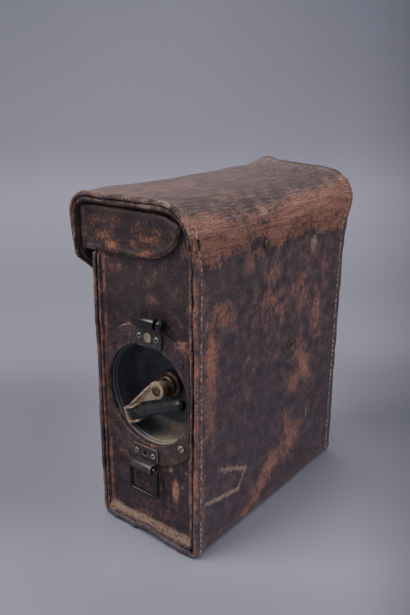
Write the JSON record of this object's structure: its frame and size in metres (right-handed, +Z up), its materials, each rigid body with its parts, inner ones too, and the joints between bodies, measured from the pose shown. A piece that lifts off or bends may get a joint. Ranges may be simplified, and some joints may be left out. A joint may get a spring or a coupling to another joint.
{
  "type": "field telephone",
  "caption": "Hand-crank field telephone in a leather carrying case with a hinged lid, a folding crank sunk in one end, strap loops and a handset inside.",
  "frame": {"origin": "centre of the case's base, on the surface it stands on", "axes": "+Z up, +X towards the end with the crank, +Y towards the broad back, -Y towards the flap"},
  "size_m": [0.1984, 0.1103, 0.241],
  "materials": {
    "case_leather": "worn dark brown",
    "lid_leather": "worn dark brown, scuffed",
    "black_enamel": "semi-gloss, dusty",
    "worn_brass": "tarnished",
    "dull_steel": "dull",
    "worn_plate": "worn to the metal",
    "black_moulding": "polished black moulding",
    "magnet_steel": "bare",
    "wound_wire": "varnished wound wire",
    "chassis_sheet": "matt grey-green",
    "cell_jacket": "card jacket"
  },
  "bodies": {
    "case": {"case_wrap": "case_leather", "crank_end_panel": "case_leather", "far_end_panel": "case_leather", "recess_ring": "case_leather", "ring_screws": "worn_brass", "ring_rivets": "black_enamel", "upper_bracket": "worn_plate", "upper_bracket_bar": "dull_steel", "lower_bracket": "worn_plate", "far_bracket": "worn_plate", "bracket_rivets": "dull_steel", "bracket_screw": "worn_brass", "back_screws": "worn_brass", "snap_studs": "worn_brass", "crank_bowl": "black_enamel", "crank_bush": "worn_brass", "generator_plates": "worn_brass", "generator_spacers": "dull_steel", "generator_magnets": "magnet_steel", "pole_pieces": "magnet_steel", "ringer_frame": "magnet_steel", "ringer_coils": "wound_wire", "ringer_gongs": "worn_brass", "gong_posts": "dull_steel", "chassis_frame": "chassis_sheet", "top_panel": "black_moulding", "panel_screws": "worn_brass", "terminal_posts": "worn_brass", "induction_coil": "wound_wire", "capacitor": "chassis_sheet", "dry_cells": "cell_jacket", "cell_contacts": "worn_brass", "battery_cover": "black_moulding", "handset_body": "black_moulding", "transmitter_cap": "black_moulding", "receiver_cap": "black_moulding"},
    "lid": {"lid_shell": "lid_leather", "crank_side_cheek": "lid_leather", "far_side_cheek": "lid_leather", "snap_sockets": "worn_brass"},
    "crank": {"crank_shaft": "dull_steel", "crank_arm": "worn_plate", "crank_screw": "black_enamel", "drive_gear": "worn_brass", "handle_pivot_pin": "dull_steel"},
    "handle": {"handle_ferrule": "dull_steel"},
    "grip": {"handle_grip": "black_moulding"},
    "armature": {"armature_core": "magnet_steel", "armature_winding": "wound_wire", "armature_pinion": "dull_steel"},
    "crank_end_loop": {"strap_loop": "black_enamel"},
    "far_end_loop": {"far_strap_loop": "black_enamel"},
    "clapper": {"ringer_clapper": "dull_steel"},
    "front_button": {"front_terminal_button": "black_moulding"},
    "back_button": {"back_terminal_button": "black_moulding"},
    "selector": {"selector_screw": "worn_brass"},
    "talk_bar": {"talk_switch": "dull_steel"}
  },
  "joints": [
    {"name": "lid_hinge", "type": "hinge", "parent": "case", "child": "lid", "pos_m": [0, 0.0448, 0.212], "axis": [-1, 0, 0], "range_deg": [0, 170]},
    {"name": "crank_turn", "type": "hinge", "parent": "case", "child": "crank", "pos_m": [0.085, 0, 0.109], "axis": [1, 0, 0], "continuous": true},
    {"name": "handle_fold", "type": "hinge", "parent": "crank", "child": "handle", "pos_m": [0.08705, -0.01717, 0.08855], "axis": [0, 0.4067, -0.9135], "range_deg": [0, 90]},
    {"name": "grip_spin", "type": "hinge", "parent": "handle", "child": "grip", "pos_m": [0.08705, -0.01717, 0.08855], "axis": [0, 0.9135, 0.4067], "continuous": true},
    {"name": "armature_turn", "type": "hinge", "parent": "case", "child": "armature", "pos_m": [0.04, 0, 0.079], "axis": [1, 0, 0], "continuous": true},
    {"name": "crank_end_loop_swing", "type": "hinge", "parent": "case", "child": "crank_end_loop", "pos_m": [0.09585, -0.0013, 0.0565], "axis": [0, -1, 0], "range_deg": [0, 150]},
    {"name": "far_end_loop_swing", "type": "hinge", "parent": "case", "child": "far_end_loop", "pos_m": [-0.09465, 0, 0.15], "axis": [0, 1, 0], "range_deg": [0, 150]},
    {"name": "clapper_rock", "type": "hinge", "parent": "case", "child": "clapper", "pos_m": [-0.01287, 0, 0.02], "axis": [0, 0, 1], "range_deg": [-2.5, 2.5]},
    {"name": "front_button_press", "type": "slide", "parent": "case", "child": "front_button", "axis": [0, 0, -1], "range_m": [0, 0.003], "stiffness_N_per_m": 500, "springref_m": -0.002},
    {"name": "back_button_press", "type": "slide", "parent": "case", "child": "back_button", "axis": [0, 0, -1], "range_m": [0, 0.003], "stiffness_N_per_m": 500, "springref_m": -0.002},
    {"name": "selector_turn", "type": "hinge", "parent": "case", "child": "selector", "pos_m": [0.036, 0.018, 0.2025], "axis": [0, 0, 1], "range_deg": [0, 90]},
    {"name": "talk_bar_press", "type": "slide", "parent": "case", "child": "talk_bar", "axis": [0, 1, 0], "range_m": [0, 0.0025], "stiffness_N_per_m": 600, "springref_m": -0.002}
  ],
  "couplings": [
    {"joint": "armature_turn", "follows": "crank_turn", "ratio": -4}
  ]
}
